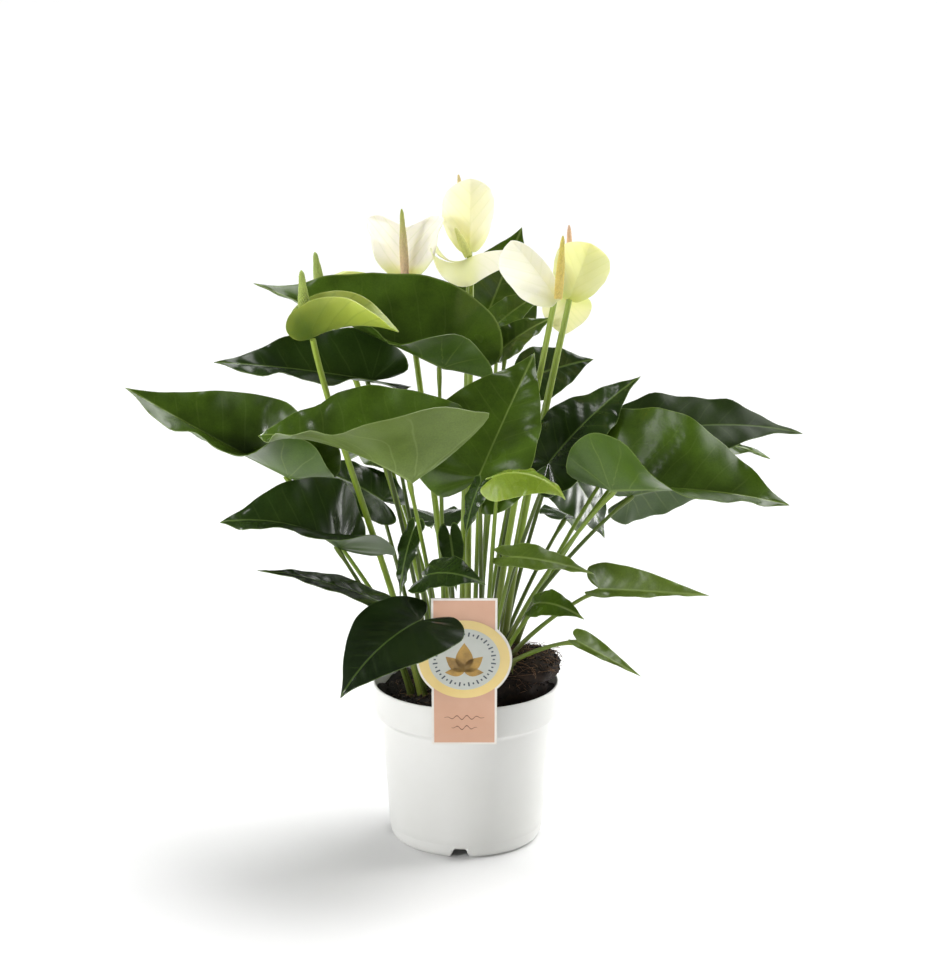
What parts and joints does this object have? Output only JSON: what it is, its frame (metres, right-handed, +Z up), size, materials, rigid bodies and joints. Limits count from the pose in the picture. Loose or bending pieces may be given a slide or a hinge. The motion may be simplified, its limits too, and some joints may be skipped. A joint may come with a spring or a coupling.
{
  "type": "potted anthurium",
  "caption": "White-flowered anthurium with glossy heart-shaped leaves in a plain round white nursery pot, with a plain card label at its rim.",
  "frame": {"origin": "on the ground under the pot's axis, which is also the middle of the plant's spread", "axes": "+Z up, -Y towards the front, where the label is, +X to the viewer's right"},
  "size_m": [0.4313, 0.2707, 0.419],
  "materials": {
    "white_pot": "moulded white polypropylene, satin",
    "peat": "dark fibrous peat with coir, rough",
    "label_card": "printed card, satin",
    "leaf": "waxy leaf, glossy above and matt below",
    "flower_stalk": "smooth green stem",
    "spathe": "waxy cream bract",
    "spadix": "beaded with small florets"
  },
  "bodies": {
    "root": {"pot": "white_pot", "soil": "peat", "label": "label_card", "leaf_01": "leaf", "leaf_02": "leaf", "leaf_03": "leaf", "leaf_04": "leaf", "leaf_05": "leaf", "leaf_06": "leaf", "leaf_07": "leaf", "leaf_08": "leaf", "leaf_09": "leaf", "leaf_10": "leaf", "leaf_11": "leaf", "leaf_12": "leaf", "leaf_13": "leaf", "leaf_14": "leaf", "leaf_15": "leaf", "leaf_16": "leaf", "leaf_17": "leaf", "leaf_18": "leaf", "leaf_19": "leaf", "leaf_20": "leaf", "leaf_21": "leaf", "leaf_22": "leaf", "leaf_23": "leaf", "leaf_24": "leaf", "leaf_25": "leaf", "leaf_26": "leaf", "leaf_27": "leaf", "leaf_28": "leaf", "leaf_29": "leaf", "leaf_30": "leaf", "leaf_31": "leaf", "leaf_32": "leaf", "leaf_33": "leaf", "flower_01_stalk": "flower_stalk", "flower_02_stalk": "flower_stalk", "flower_03_stalk": "flower_stalk", "flower_04_stalk": "flower_stalk", "flower_05_stalk": "flower_stalk", "flower_06_stalk": "flower_stalk", "flower_07_stalk": "flower_stalk", "flower_08_stalk": "flower_stalk", "flower_01_spathe": "spathe", "flower_02_spathe": "spathe", "flower_03_spathe": "spathe", "flower_04_spathe": "spathe", "flower_05_spathe": "spathe", "flower_06_spathe": "spathe", "flower_07_spathe": "spathe", "flower_08_spathe": "spathe", "flower_01_spadix": "spadix", "flower_02_spadix": "spadix", "flower_03_spadix": "spadix", "flower_04_spadix": "spadix", "flower_05_spadix": "spadix", "flower_06_spadix": "spadix", "flower_07_spadix": "spadix", "flower_08_spadix": "spadix"}
  },
  "joints": []
}
